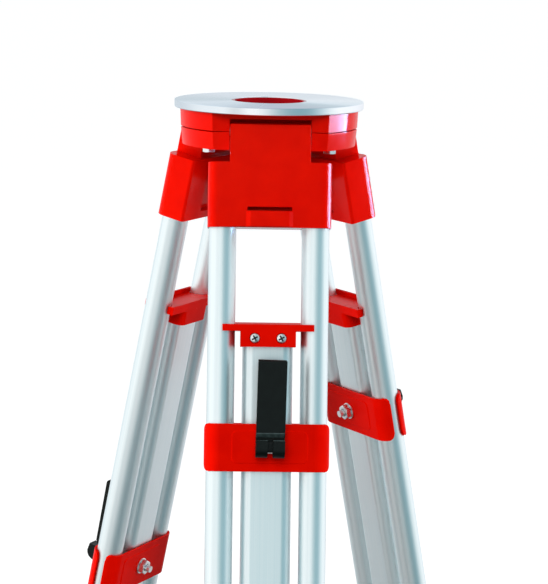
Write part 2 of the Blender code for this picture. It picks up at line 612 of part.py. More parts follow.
def lever_outline():
    """The cam lever from the side, about its pin: (y inwards, z up)."""
    cam = []
    for step in range(13):
        angle = math.radians(15 * step)
        reach = CAM_LOW + (CAM_RADIUS - CAM_LOW) * math.cos(angle) ** 2
        cam.append((reach * math.cos(angle), -reach * math.sin(angle)))
    lobe_top, groove_top, chamfer_top = 0.0065, 0.0088, 0.0122
    handle_out, handle_in, tip = -0.0040, 0.0045, 0.0030
    outer = [(-0.0100, lobe_top), (-0.0005, lobe_top), (-0.0005, groove_top), (-0.0016, groove_top),
             (handle_out, chamfer_top)]
    top = (arc((handle_out + tip, LEVER_LENGTH - tip), tip, 180, 90, 4)
           + arc((handle_in - tip, LEVER_LENGTH - tip), tip, 90, 0, 4))
    inner = [(handle_in, 0.0165), (0.0098, 0.0060)]
    return cam + outer + top + inner


def build_lever(name, lever, black, zinc):
    shape = prism(lever_outline(), -LEVER_HALF_WIDTH, LEVER_HALF_WIDTH)
    handle = add_piece(name + "_cam_lever", move(shape, ALONG_X), black, lever)
    slot = prism(box_outline(-THROUGH, THROUGH, -THROUGH, LEVER_SLOT_TOP), -LEVER_SLOT_HALF,
                 LEVER_SLOT_HALF)
    cut(handle, move(slot, ALONG_X))
    cut(handle, pin_shape(LEVER_PIN_RADIUS + GAP, THROUGH))
    add_piece(name + "_cam_pin", pin_shape(LEVER_PIN_RADIUS, LEVER_HALF_WIDTH - GAP), zinc, lever)


# ---- Whole tripod --------------------------------------------------------------------------
def build_leg(name, head_axis, materials):
    paint, aluminium, black, steel, zinc = materials
    leg = add_frame(name + "_leg_hinge", head_axis @ pin_frame(LEG_BEARING[name])
                    @ Matrix.Rotation(-SPLAY, 4, "X"))
    build_upper_leg(name, leg, paint, aluminium)
    slide = add_frame(name + "_extension_slide", Matrix.Identity(4), leg)
    centre = CLAMP_CENTRE[name]
    build_extension(name + "_extension", slide, centre, aluminium)
    build_guide_cap(name + "_guide_cap", slide, paint)
    build_clamp(name, slide, centre, paint, zinc)
    build_foot(name, slide, paint, steel)
    pin_place = Matrix.Translation((BOLT_OFFSET, -LEVER_PIN_OUT, -centre))
    lever = add_frame(name + "_lever_hinge", pin_place @ Matrix.Rotation(LEVER_LEAN, 4, "Y"), slide)
    build_lever(name, lever, black, zinc)


def build_tripod():
    clear_scene()
    paint = make_material("red_paint", (0.70, 0.012, 0.002), 0.35, 0.0)
    aluminium = make_material("anodised_aluminium", (0.72, 0.78, 0.80), 0.38, 1.0)
    black = make_material("black_plastic", (0.010, 0.014, 0.013), 0.35, 0.0)
    steel = make_material("bright_steel", (0.62, 0.62, 0.62), 0.30, 1.0)
    zinc = make_material("zinc_plate", (0.75, 0.75, 0.74), 0.28, 1.0)

    head_axis = Matrix.Translation((0, HEAD_SET_BACK, HEAD_TOP))
    head = add_frame("head_axis", head_axis)
    build_head(head, paint, aluminium, zinc)
    build_fixing_screw(head, black, steel, zinc)
    for name, bearing in LEG_BEARING.items():
        pin = move(pin_shape(PIN_RADIUS, PIN_HALF_LENGTH), pin_frame(bearing))
        add_piece(name + "_hinge_pin", pin, steel, head)
        build_leg(name, head_axis, (paint, aluminium, black, steel, zinc))


build_tripod()
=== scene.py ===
"""Surveyor's tripod: a turned head plate on an enamelled casting, and three legs of twin tubes
with sliding extensions, cam clamps and pointed feet. Metres, +Z up."""
import json
import math

import bpy
from mathutils import Matrix, Vector


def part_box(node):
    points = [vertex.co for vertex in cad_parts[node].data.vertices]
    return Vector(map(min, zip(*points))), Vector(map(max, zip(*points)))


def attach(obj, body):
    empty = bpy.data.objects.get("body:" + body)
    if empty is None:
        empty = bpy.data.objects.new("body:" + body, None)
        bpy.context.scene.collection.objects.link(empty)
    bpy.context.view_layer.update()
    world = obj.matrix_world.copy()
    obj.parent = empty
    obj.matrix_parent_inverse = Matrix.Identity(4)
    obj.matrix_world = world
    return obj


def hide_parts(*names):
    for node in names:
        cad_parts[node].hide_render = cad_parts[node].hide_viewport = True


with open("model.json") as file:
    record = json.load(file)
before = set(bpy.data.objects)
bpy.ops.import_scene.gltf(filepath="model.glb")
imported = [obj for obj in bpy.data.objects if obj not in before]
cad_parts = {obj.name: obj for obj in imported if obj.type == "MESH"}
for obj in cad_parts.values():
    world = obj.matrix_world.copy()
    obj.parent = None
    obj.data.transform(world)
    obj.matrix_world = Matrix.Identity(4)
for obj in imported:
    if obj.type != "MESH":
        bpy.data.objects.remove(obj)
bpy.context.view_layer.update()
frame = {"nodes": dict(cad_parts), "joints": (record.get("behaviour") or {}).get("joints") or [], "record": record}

JOINTS = {joint["name"]: joint for joint in frame["joints"]}
LEGS = ("front", "right", "left")
MM = 0.001

# ---- Sizes, in metres ------------------------------------------------------------------------
# The head's depths are measured down from its plate's top face.
PLATE_RADIUS = 0.079
PLATE_HOLE = 0.0315
PLATE_THICKNESS = 0.006
CASTING_RADIUS = 0.075
CASTING_EDGE = 0.0011
BORE_RADIUS = 0.033
SEAM_DEPTH = 0.0211
SEAM_GAP = 0.0006
WALL_DRAFT = 0.045      # how far the wall leans in, for each metre down
CAP_DRAFT = 0.055       # how much further the caps lean in
CAP_BOLT_HEAD = 0.0045
CAP_BOLT_SHANK = 0.0029
THREAD_RADIUS = 0.0079
THREAD_ROOT = 0.0070
THREAD_PITCH = 0.00231
SCREW_TIP = 0.0080
SCREW_END = 0.0475
COLLAR_START = 0.0289
COLLAR_END = 0.0309

# Depths on a leg are measured down it from its hinge pin.
TUBE_RADIUS = 0.0112
TUBE_WALL = 0.0014
TUBE_SPACING = 0.0757
TUBE_TOP = 0.0340
TUBE_END = 0.9030
BAR_HALF_WIDTH = 0.0204
BAR_RADIUS = 0.0085
BAR_WALL = 0.0015
BAR_SET_IN = 0.0025
BAR_TOP = 0.1636
BAR_END = 0.9780
CLAMP_CENTRE = {"front": 0.2570, "right": 0.2570, "left": 0.4065}
CLAMP_HALF_HEIGHT = 0.01925
CLAMP_CORNER = 0.0065
CLAMP_SHEET = 0.0021
BOLT_OFFSET = 0.0022
BOLT_HOLE = 0.0034
LEVER_PIN_OUT = 0.0250
LEVER_HALF_WIDTH = 0.0113
LEVER_SLOT_HALF = 0.0022
LEVER_CORNER = 0.0026
GUIDE_SCREW_DEPTH = 0.1688
GUIDE_SCREW_SPACING = 0.0216
GUIDE_SCREW_RADIUS = 0.0042
GUIDE_SCREW_HEAD = 0.0027
GUIDE_SCREW_SEAT = 0.0116
RECESS_DEPTH = 0.0019
RECESS_REACH = 0.0027
RECESS_HALF_WIDTH = 0.0007

# Turns for pieces that are drawn about z: to lie along a leg's y, and to face out from a guide cap.
ALONG_Y = Matrix(((0, 1, 0, 0), (0, 0, 1, 0), (1, 0, 0, 0), (0, 0, 0, 1)))
FACING_OUT = Matrix(((1, 0, 0, 0), (0, 0, -1, -GUIDE_SCREW_SEAT), (0, 1, 0, 0), (0, 0, 0, 1)))


# ---- Places ----------------------------------------------------------------------------------
def leg_frame(leg):
    """A leg's own frame: x along its hinge pin, y inwards, z up the leg, from its hinge."""
    across = Vector(JOINTS[leg + "_leg_hinge"]["axis"]).normalized()
    up = -Vector(JOINTS[leg + "_extension_slide"]["axis"]).normalized()
    place = Matrix((across, up.cross(across), up)).transposed().to_4x4()
    place.translation = Vector(JOINTS[leg + "_leg_hinge"]["pos_m"])
    return place


def head_frame():
    """The head's frame: its axis, with z zero at the plate's top face."""
    x, y, _ = JOINTS["screw_turn"]["pos_m"]
    return Matrix.Translation((x, y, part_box("head_plate")[1].z))


HEAD = head_frame()
LEG = {leg: leg_frame(leg) for leg in LEGS}


# ---- Colours and shader nodes ----------------------------------------------------------------
def colour(code, alpha=1.0):
    """An sRGB hex code as linear red, green, blue and alpha."""
    channels = [int(code[start:start + 2], 16) / 255 for start in (1, 3, 5)]
    linear = [c / 12.92 if c <= 0.04045 else ((c + 0.055) / 1.055) ** 2.4 for c in channels]
    return (*linear, alpha)


def add_node(tree, kind, inputs=None, **settings):
    """Adds a shader node. An input given as a socket is linked, and any other is set."""
    made = tree.nodes.new(kind)
    for key, value in settings.items():
        setattr(made, key, value)
    for key, value in (inputs or {}).items():
        if isinstance(value, bpy.types.NodeSocket):
            tree.links.new(value, made.inputs[key])
        else:
            made.inputs[key].default_value = value
    return made


def new_finish(name, shade, roughness, metallic=0.0, **more):
    """A material with its shader's plain numbers set. Returns it, its node tree and its shader."""
    material = bpy.data.materials.new(name)
    material.use_nodes = True
    shader = material.node_tree.nodes["Principled BSDF"]
    shader.inputs["Base Color"].default_value = colour(shade)
    shader.inputs["Roughness"].default_value = roughness
    shader.inputs["Metallic"].default_value = metallic
    for key, value in more.items():
        shader.inputs[key.replace("_", " ")].default_value = value
    return material, material.node_tree, shader


def place_of(tree, frame_matrix=None, stretch=(1, 1, 1)):
    """Object coordinates, turned into a frame of the object's own, such as a leg's."""
    place = add_node(tree, "ShaderNodeTexCoord").outputs["Object"]
    if frame_matrix is not None:
        inverse = frame_matrix.inverted()
        place = add_node(tree, "ShaderNodeMapping", {
            "Vector": place, "Location": inverse.translation,
            "Rotation": inverse.to_euler()}).outputs["Vector"]
    return add_node(tree, "ShaderNodeMapping", {"Vector": place, "Scale": stretch}).outputs["Vector"]


def cloudy(tree, place, size, detail=2.0):
    """A cloudy pattern from 0 to 1, in patches of about a given size."""
    return add_node(tree, "ShaderNodeTexNoise",
                    {"Vector": place, "Scale": 1 / size, "Detail": detail}).outputs["Fac"]


def between(tree, factor, low, high):
    """Maps a factor from 0 to 1 onto a range of numbers."""
    return add_node(tree, "ShaderNodeMapRange",
                    {"Value": factor, "To Min": low, "To Max": high}).outputs["Result"]


def shades(tree, factor, *stops):
    """A colour ramp through (place, hex code) stops."""
    ramp = add_node(tree, "ShaderNodeValToRGB", {"Fac": factor})
    while len(ramp.color_ramp.elements) < len(stops):
        ramp.color_ramp.elements.new(1.0)
    for element, (place, code) in zip(ramp.color_ramp.elements, stops):
        element.position = place
        element.color = colour(code)
    return ramp.outputs["Color"]


def blend(tree, factor, first, second):
    """Mixes two colours: a factor of 0 gives the first."""
    return add_node(tree, "ShaderNodeMix", {0: factor, 6: first, 7: second},
                    data_type="RGBA").outputs[2]


def lay_on(tree, shader, shade, roughness):
    """Gives a shader its colour and roughness patterns."""
    tree.links.new(shade, shader.inputs["Base Color"])
    tree.links.new(roughness, shader.inputs["Roughness"])


def raise_surface(tree, shader, height, depth, strength):
    """Bumps a surface by a height pattern, depth being its real depth in metres."""
    bump = add_node(tree, "ShaderNodeBump", {"Height": height, "Distance": depth, "Strength": strength})
    tree.links.new(bump.outputs["Normal"], shader.inputs["Normal"])


# ---- Finishes --------------------------------------------------------------------------------
def red_enamel(name, gloss, smooth, rough):
    """Baked enamel: one strong red with a faint orange peel, glossy on the castings and satin on
    the pressed parts. Inside the head's bore the red is painted a darker crimson, as painted shade."""
    material, tree, shader = new_finish(name, "#DD0C00", smooth, Specular_IOR_Level=gloss,
                                        Specular_Tint=colour("#FFBE9A"))
    place = place_of(tree)
    cloud = cloudy(tree, place, 18 * MM, 3.0)
    from_axis = add_node(tree, "ShaderNodeVectorMath", {0: place_of(tree, HEAD, (1, 1, 0))},
                         operation="LENGTH").outputs["Value"]
    outside_painted_bore_shade = add_node(tree, "ShaderNodeMapRange", {
        "Value": from_axis, "From Min": BORE_RADIUS - 1 * MM,
        "From Max": BORE_RADIUS + 1 * MM}).outputs["Result"]
    # Painted shade: within the bore's radius of the head's axis the red turns to a darker crimson.
    coat_and_bore_shade = blend(tree, outside_painted_bore_shade, colour("#A40E17"),
                 shades(tree, cloud, (0.30, "#DB0800"), (0.70, "#E50C00")))
    lay_on(tree, shader, coat_and_bore_shade, between(tree, cloud, smooth, rough))
    raise_surface(tree, shader, cloudy(tree, place, 1.6 * MM), 0.02 * MM, 0.15)
    return material


def turned_aluminium():
    """Bare aluminium faced on a lathe, with fine rings of tool marks. A painted sheen lies over it: soft
    wedges of painted reflection turn round the head's axis on the top face, with a painted reflection
    round the rim. The marks are about 0.2 mm apart, and are drawn 1.2 mm apart so they show."""
    material, tree, shader = new_finish("lathe_turned_aluminium", "#E4E9EC", 0.28, 1.0)
    place = place_of(tree, HEAD)
    rings = add_node(tree, "ShaderNodeTexWave", {
        "Vector": place, "Scale": 1 / (1.2 * MM) / 20, "Distortion": 0.0, "Detail": 0.0},
        wave_type="RINGS", rings_direction="Z")
    turned = add_node(tree, "ShaderNodeMapping", {
        "Vector": place, "Rotation": (0, 0, math.radians(90))}).outputs["Vector"]
    wedge = add_node(tree, "ShaderNodeTexGradient", {"Vector": turned},
                     gradient_type="RADIAL").outputs["Fac"]
    # Painted reflection: lighter and darker wedges by angle round the axis, darkest towards the front.
    painted_sheen = shades(tree, wedge, (0.0, "#E6EAEF"), (0.12, "#E0E6EC"),
                   (0.22, "#CAD6DC"), (0.27, "#C4D3DA"), (0.33, "#E0EAF1"), (0.40, "#D0DFE9"),
                   (0.45, "#B4C2D2"), (0.50, "#A6AFC4"), (0.57, "#A3B4C0"), (0.63, "#B8CDD6"),
                   (0.68, "#E8F2F7"), (0.75, "#F4F8FB"), (0.85, "#E8ECF0"), (1.0, "#E6EAEF"))
    height = add_node(tree, "ShaderNodeSeparateXYZ", {"Vector": place}).outputs["Z"]
    on_top = add_node(tree, "ShaderNodeMapRange", {
        "Value": height, "From Min": -0.5 * MM, "From Max": -0.1 * MM}).outputs["Result"]
    # Painted reflection round the rim: lighter and darker by angle round the axis.
    rim = shades(tree, wedge, (0.30, "#D3DCE3"), (0.40, "#DCE4E9"), (0.46, "#EFF3F6"))
    ringed = blend(tree, between(tree, rings.outputs["Fac"], 0.0, 0.05),
                   blend(tree, on_top, rim, painted_sheen), colour("#AEBAC4"))
    lay_on(tree, shader, ringed, between(tree, wedge, 0.25, 0.30))
    return material


def anodised_aluminium(leg):
    """Extruded aluminium with a satin anodised skin: cool and even, with faint die lines down it."""
    material, tree, shader = new_finish("satin_anodised_aluminium_" + leg, "#EAF4F6", 0.42, 1.0)
    along = place_of(tree, LEG[leg], (1 / (0.9 * MM), 1 / (0.9 * MM), 1 / (160 * MM)))
    lines = cloudy(tree, along, 1.0)
    lay_on(tree, shader, shades(tree, lines, (0.30, "#E8F3F5"), (0.70, "#F0F8F9")),
           between(tree, cloudy(tree, place_of(tree), 0.8 * MM), 0.38, 0.46))
    raise_surface(tree, shader, lines, 0.01 * MM, 0.12)
    return material


def black_nylon():
    """Moulded glass-filled nylon: near black with a trace of green, semi-gloss, slightly mottled."""
    material, tree, shader = new_finish("moulded_black_nylon", "#070D0C", 0.36, Specular_IOR_Level=0.16)
    place = place_of(tree)
    cloud = cloudy(tree, place, 6 * MM, 3.0)
    lay_on(tree, shader, shades(tree, cloud, (0.3, "#050A09"), (0.7, "#09100F")),
           between(tree, cloud, 0.30, 0.44))
    raise_surface(tree, shader, cloudy(tree, place, 0.7 * MM, 1.0), 0.02 * MM, 0.30)
    return material


def painted_highlight_nylon():
    """Black nylon painted paler, as a painted highlight on a lever's band and beads."""
    material, tree, shader = new_finish("black_nylon_painted_highlight", "#303D3D", 0.40, Specular_IOR_Level=0.40)
    cloud = cloudy(tree, place_of(tree), 3 * MM)
    lay_on(tree, shader, shades(tree, cloud, (0.3, "#243030"), (0.7, "#3C4B4B")),
           between(tree, cloud, 0.32, 0.46))
    return material


def zinc_plate():
    """Steel with bright zinc plating: pale, slightly blue and yellow in patches."""
    material, tree, shader = new_finish("bright_zinc_plate", "#E9ECEF", 0.28, 1.0)
    cloud = cloudy(tree, place_of(tree), 4 * MM, 4.0)
    lay_on(tree, shader, shades(tree, cloud, (0.30, "#DCE4EC"), (0.70, "#F4F3EC")),
           between(tree, cloud, 0.22, 0.36))
    raise_surface(tree, shader, cloud, 0.02 * MM, 0.20)
    return material


def recess_shade_zinc():
    """Zinc plate painted dark, as painted shade: the bottoms of the screws' recesses."""
    material, tree, shader = new_finish("zinc_painted_recess_shade", "#2A2E30", 0.45, 1.0)
    cloud = cloudy(tree, place_of(tree), 3 * MM)
    lay_on(tree, shader, shades(tree, cloud, (0.3, "#202425"), (0.7, "#34383A")),
           between(tree, cloud, 0.34, 0.50))
    return material


def turned_steel():
    """Turned bare steel: grey, with close tool marks that catch the light."""
    material, tree, shader = new_finish("turned_bare_steel", "#A9ABAD", 0.30, 1.0)
    place = place_of(tree, stretch=(1 / (9 * MM), 1 / (9 * MM), 1 / (0.8 * MM)))
    marks = cloudy(tree, place, 1.0)
    lay_on(tree, shader, shades(tree, marks, (0.3, "#96999C"), (0.7, "#B9BBBC")),
           between(tree, marks, 0.24, 0.40))
    raise_surface(tree, shader, marks, 0.03 * MM, 0.25)
    return material


RED = red_enamel("baked_enamel_red", 0.07, 0.09, 0.14)
SATIN_RED = red_enamel("satin_enamel_red", 0.02, 0.22, 0.30)
PLATE = turned_aluminium()
ANODISED = {leg: anodised_aluminium(leg) for leg in LEGS}
BLACK = black_nylon()
PAINTED_HIGHLIGHT_NYLON = painted_highlight_nylon()
ZINC = zinc_plate()
STEEL = turned_steel()
RECESS_SHADE_ZINC = recess_shade_zinc()
ENAMELLED = bpy.data.collections.new("enamelled_pieces")  # the glossy pieces the card lights


# ---- Modelling -------------------------------------------------------------------------------
def deselect():
    for thing in bpy.context.selected_objects:
        thing.select_set(False)


def pick(piece):
    """Makes a piece the one that operators act on."""
    deselect()
    piece.select_set(True)
    bpy.context.view_layer.objects.active = piece


def edit(piece, mode="VERT"):
    """Opens a piece for editing, with everything selected."""
    pick(piece)
    bpy.ops.object.mode_set(mode="EDIT")
    bpy.ops.mesh.select_mode(type=mode)
    bpy.ops.mesh.select_all(action="SELECT")


def close_edit():
    bpy.ops.object.mode_set(mode="OBJECT")


def arc(centre, radius, start, end, steps):
    """Points on an arc, both ends included. Angles are in degrees."""
    points = []
    for step in range(steps + 1):
        angle = math.radians(start + (end - start) * step / steps)
        points.append((centre[0] + radius * math.cos(angle), centre[1] + radius * math.sin(angle)))
    return points


def traced(name, outline, low, high, across="XY"):
    """A solid drawn point by point and extruded: its outline lies across two axes."""
    deselect()
    first, second = ("XYZ".index(letter) for letter in across)
    third = 3 - first - second

    def point(pair, level):
        place = [0.0, 0.0, 0.0]
        place[first], place[second], place[third] = pair[0], pair[1], level
        return Vector(place)

    places = [point(pair, low) for pair in outline]
    bpy.ops.mesh.primitive_plane_add(size=0.001, location=places[0])
    piece = bpy.context.active_object
    piece.name = piece.data.name = name
    bpy.ops.object.transform_apply(location=True, rotation=True, scale=True)
    edit(piece)
    bpy.ops.mesh.merge(type="CENTER")
    for here, there in zip(places, places[1:]):
        bpy.ops.mesh.extrude_vertices_move(TRANSFORM_OT_translate={"value": there - here})
    bpy.ops.mesh.select_all(action="SELECT")
    bpy.ops.mesh.edge_face_add()
    rise = point((0, 0), high - low)
    bpy.ops.mesh.extrude_region_move(TRANSFORM_OT_translate={"value": rise})
    bpy.ops.mesh.select_all(action="SELECT")
    bpy.ops.mesh.normals_make_consistent(inside=False)
    close_edit()
    return piece


def lathed(name, profile, steps, ring=False):
    """A turned solid about z, drawn ring by ring through (radius, height) points."""
    deselect()
    radius, height = profile[0]
    bpy.ops.mesh.primitive_circle_add(vertices=steps, radius=radius, location=(0, 0, height),
                                      fill_type="NOTHING" if ring else "NGON")
    piece = bpy.context.active_object
    piece.name = piece.data.name = name
    bpy.ops.object.transform_apply(location=True, rotation=True, scale=True)
    edit(piece, "EDGE" if ring else "FACE")
    for next_radius, next_height in profile[1:] + (profile[:1] if ring else []):
        extrude = bpy.ops.mesh.extrude_edges_move if ring else bpy.ops.mesh.extrude_region_move
        extrude(TRANSFORM_OT_translate={"value": (0, 0, next_height - height)})
        scale = next_radius / radius
        bpy.ops.transform.resize(value=(scale, scale, 1), center_override=(0, 0, 0))
        radius, height = next_radius, next_height
    bpy.ops.mesh.select_all(action="SELECT")
    bpy.ops.mesh.remove_doubles(threshold=1e-6)
    bpy.ops.mesh.normals_make_consistent(inside=False)
    close_edit()
    return piece


def apply_modifier(piece, kind, **settings):
    pick(piece)
    modifier = piece.modifiers.new(kind.lower(), kind)
    for key, value in settings.items():
        setattr(modifier, key, value)
    bpy.ops.object.modifier_apply(modifier=modifier.name)


def soften(piece, width, segments=2, angle=32):
    """Rounds a piece's sharp edges."""
    apply_modifier(piece, "BEVEL", width=width, segments=segments, limit_method="ANGLE",
                   angle_limit=math.radians(angle), miter_outer="MITER_ARC")


def carve(piece, tool, operation="DIFFERENCE"):
    """Cuts a tool out of a piece, joins it on, or keeps only what lies inside it."""
    apply_modifier(piece, "BOOLEAN", object=tool, operation=operation, solver="EXACT")
    bpy.data.objects.remove(tool, do_unlink=True)


def softened_solid(node, name, width, segments=2, reshape=None):
    """A copy of a solid with its flat faces made whole again and its edges rounded."""
    deselect()
    source = frame["nodes"][node]
    piece = source.copy()
    piece.data = source.data.copy()
    for key in list(piece.keys()):
        del piece[key]
    piece.name = piece.data.name = name
    piece.parent = None
    piece.data.materials.clear()
    bpy.context.collection.objects.link(piece)
    edit(piece)
    bpy.ops.mesh.customdata_custom_splitnormals_clear()
    bpy.ops.mesh.remove_doubles(threshold=2e-6)
    bpy.ops.mesh.dissolve_limited(angle_limit=math.radians(0.6))
    close_edit()
    if reshape:
        reshape(piece)
    soften(piece, width, segments)
    return piece


def choose(piece, test):
    """Opens a piece for editing with only the vertices that pass a test selected."""
    edit(piece)
    bpy.ops.mesh.select_all(action="DESELECT")
    close_edit()
    for vertex in piece.data.vertices:
        vertex.select = test(vertex.co)
    bpy.ops.object.mode_set(mode="EDIT")


def shade(piece, angle=35):
    """Shades a piece smooth, but for edges sharper than an angle in degrees."""
    pick(piece)
    bpy.ops.object.shade_smooth_by_angle(angle=math.radians(angle))


def settle(piece, place, finish, body, *nodes):
    """Moves a finished piece's mesh to its place, gives it its finish and body, and hides the nodes it stands in
    for.
    """
    piece.data.transform(place)
    piece.data.materials.clear()
    piece.data.materials.append(finish)
    shade(piece)
    apply_modifier(piece, "WEIGHTED_NORMAL", keep_sharp=True)
    if finish is RED:
        ENAMELLED.objects.link(piece)
    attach(piece, body)
    if nodes:
        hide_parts(*nodes)


def twin(piece, name):
    """A copy of a piece with its own mesh."""
    made = piece.copy()
    made.data = piece.data.copy()
    made.name = made.data.name = name
    bpy.context.collection.objects.link(made)
    return made


def for_each_leg(make, name, finish, body, nodes, place=None):
    """Models a piece once in a leg's frame and puts a copy on each leg."""
    pattern = make(name)
    for leg in LEGS:
        piece = twin(pattern, f"{leg}_{name}")
        spot = LEG[leg] @ (place(leg) if place else Matrix.Identity(4))
        chosen = finish[leg] if isinstance(finish, dict) else finish
        settle(piece, spot, chosen, f"{leg}_{body}", *(f"{leg}_{node}" for node in nodes))
    bpy.data.objects.remove(pattern, do_unlink=True)


# ---- Head ------------------------------------------------------------------------------------
def draw_in(piece):
    """Gives the head's outer wall its draft: the lower it is, the nearer to the axis. A cap's top
    rim also drops a little, so that the seam over it shows."""
    axis = Vector((HEAD.translation.x, HEAD.translation.y, 0))
    outer = CASTING_RADIUS - 1.0 * MM
    levels = sorted({round(corner.co.z, 4) for corner in piece.data.vertices
                     if (corner.co - axis).xy.length > outer})
    for level in levels:
        depth = HEAD.translation.z - level
        drawn = (depth - PLATE_THICKNESS) * WALL_DRAFT + max(0, depth - SEAM_DEPTH) * CAP_DRAFT
        scale = 1 - drawn / CASTING_RADIUS
        choose(piece, lambda place, level=level: abs(place.z - level) < 0.1 * MM
               and (place - axis).xy.length > outer)
        bpy.ops.transform.resize(value=(scale, scale, 1), center_override=axis)
        if "cap" in piece.name and level == levels[-1]:
            bpy.ops.transform.translate(value=(0, 0, -SEAM_GAP))
        close_edit()


def build_head():
    edge = 0.0005
    profile = [(PLATE_RADIUS, -PLATE_THICKNESS + edge), (PLATE_RADIUS, -edge)]
    profile += arc((PLATE_RADIUS - edge, -edge), edge, 30, 90, 3)
    profile += [(PLATE_HOLE + edge, 0), (PLATE_HOLE, -edge), (PLATE_HOLE, -PLATE_THICKNESS + edge),
                (PLATE_HOLE + edge, -PLATE_THICKNESS), (PLATE_RADIUS - edge, -PLATE_THICKNESS)]
    plate = lathed("turned_head_plate", profile, 192, ring=True)
    settle(plate, HEAD, PLATE, "head", "head_plate")

    for node, name in (("head_casting", "head_body"), ("right_hinge_cap", "right_pin_cap"),
                       ("rear_hinge_cap", "rear_pin_cap"), ("left_hinge_cap", "left_pin_cap")):
        piece = softened_solid(node, name, CASTING_EDGE, reshape=draw_in)
        settle(piece, Matrix.Identity(4), RED, "head", node)

    for node, name, finish, width, body in (
            ("screw_arm", "swinging_arm", ZINC, 0.0006, "screw_arm"),
            ("screw_bush", "sliding_bush", BLACK, 0.0006, "screw_bush"),
            ("screw_knob", "screw_grip", BLACK, 0.0008, "fixing_screw"),
            ("arm_pivot_bolt", "arm_bolt", ZINC, 0.0005, "head")):
        settle(softened_solid(node, name, width), Matrix.Identity(4), finish, body, node)
    settle(threaded_screw("threaded_screw"), HEAD, STEEL, "fixing_screw", "fixing_screw")

    for bearing in ("right", "rear", "left"):
        low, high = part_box(bearing + "_cap_bolt")
        middle = (low + high) / 2
        bolt = hexagon_head(bearing + "_pin_cap_bolt", (high.x - low.x) / 2 * math.cos(math.pi / 6),
                            low.z, low.z + CAP_BOLT_HEAD, "XY")
        shank = lathed("shank", [(CAP_BOLT_SHANK, low.z + CAP_BOLT_HEAD - 0.5 * MM),
                                 (CAP_BOLT_SHANK, high.z)], 32)
        carve(bolt, shank, "UNION")
        settle(bolt, Matrix.Translation((middle.x, middle.y, 0)), ZINC, "head", bearing + "_cap_bolt")


def threaded_screw(name):
    """The fixing screw: a plain end, a collar, and a thread drawn as rings."""
    chamfer, collar = 1.2 * MM, THREAD_RADIUS + 1.2 * MM
    profile = [(THREAD_RADIUS - chamfer, -SCREW_END), (THREAD_RADIUS, chamfer - SCREW_END),
               (THREAD_RADIUS, -COLLAR_END), (collar, -COLLAR_END), (collar, -COLLAR_START),
               (THREAD_ROOT, -COLLAR_START)]
    height = 0.4 * MM - COLLAR_START
    while height + THREAD_PITCH < -SCREW_TIP - 0.7 * MM:
        profile += [(THREAD_ROOT, height), (THREAD_RADIUS, height + THREAD_PITCH * 0.42),
                    (THREAD_RADIUS, height + THREAD_PITCH * 0.56)]
        height += THREAD_PITCH
    profile += [(THREAD_ROOT - 0.1 * MM, -SCREW_TIP - 0.6 * MM), (THREAD_ROOT - 0.9 * MM, -SCREW_TIP)]
    return lathed(name, profile, 64)


# ---- Legs ------------------------------------------------------------------------------------
def drawn_tube(name):
    edge = 0.0003
    profile = [(TUBE_RADIUS, -TUBE_END + edge), (TUBE_RADIUS, -TUBE_TOP),
               (TUBE_RADIUS - TUBE_WALL, -TUBE_TOP), (TUBE_RADIUS - TUBE_WALL, -TUBE_END + edge),
               (TUBE_RADIUS - TUBE_WALL + edge, -TUBE_END), (TUBE_RADIUS - edge, -TUBE_END)]
    return lathed(name, profile, 64, ring=True)


def stadium(half_width, radius, centre_y, steps=14):
    """The outline of a flat bar with round edges."""
    reach = half_width - radius
    return (arc((reach, centre_y), radius, -90, 90, steps)
            + arc((-reach, centre_y), radius, 90, 270, steps))


def sliding_bar(name):
    bar = traced(name, stadium(BAR_HALF_WIDTH, BAR_RADIUS, BAR_SET_IN), -BAR_END, -BAR_TOP)
    bore = traced("bore", stadium(BAR_HALF_WIDTH - BAR_WALL, BAR_RADIUS - BAR_WALL, BAR_SET_IN),
                  -BAR_END - 0.01, -BAR_TOP + 0.01)
    carve(bar, bore)
    return bar


